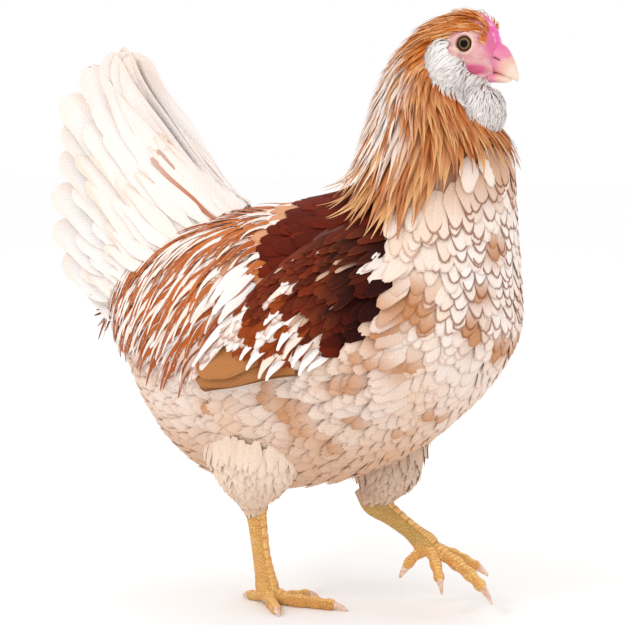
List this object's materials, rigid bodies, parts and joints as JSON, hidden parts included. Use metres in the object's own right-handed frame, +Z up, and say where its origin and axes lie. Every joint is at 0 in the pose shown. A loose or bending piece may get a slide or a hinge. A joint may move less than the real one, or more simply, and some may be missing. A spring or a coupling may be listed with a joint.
{
  "type": "hen, life-size still model",
  "caption": "Life-size still model of a young bearded hen, walking: standing on its right foot with the left foot raised.",
  "frame": {"origin": "middle of the standing right foot's sole, on the floor, under the joint of its toes", "axes": "+X the way the hen faces, +Y to its left, +Z up"},
  "size_m": [0.3328, 0.1702, 0.3872],
  "materials": {
    "plumage_white": "soft matte feathers, white to cream",
    "plumage_orange": "soft matte feathers, orange-brown with pale streaks",
    "plumage_mahogany": "smooth matte feathers, dark red-brown",
    "plumage_cream": "soft matte fluff, cream to buff",
    "leg_skin": "scaly, satin, yellow ochre",
    "claw": "smooth horn, satin",
    "horn": "smooth horn, satin",
    "comb": "beaded skin, soft satin",
    "eye": "wet gloss"
  },
  "bodies": {
    "root": {"beak_lower": "horn", "beak_upper": "horn", "beard": "plumage_white", "claw_hallux_left": "claw", "claw_hallux_right": "claw", "claw_inner_left": "claw", "claw_inner_right": "claw", "claw_middle_left": "claw", "claw_middle_right": "claw", "claw_outer_left": "claw", "claw_outer_right": "claw", "comb": "comb", "eye_left": "eye", "eye_right": "eye", "foot_left": "leg_skin", "foot_right": "leg_skin", "head": "plumage_orange", "muff_left": "plumage_white", "muff_right": "plumage_white", "neck": "plumage_orange", "shank_left": "leg_skin", "shank_right": "leg_skin", "tail": "plumage_white", "thigh_left": "plumage_cream", "thigh_right": "plumage_cream", "trunk": "plumage_white", "wing_left": "plumage_mahogany", "wing_right": "plumage_mahogany"}
  },
  "joints": []
}
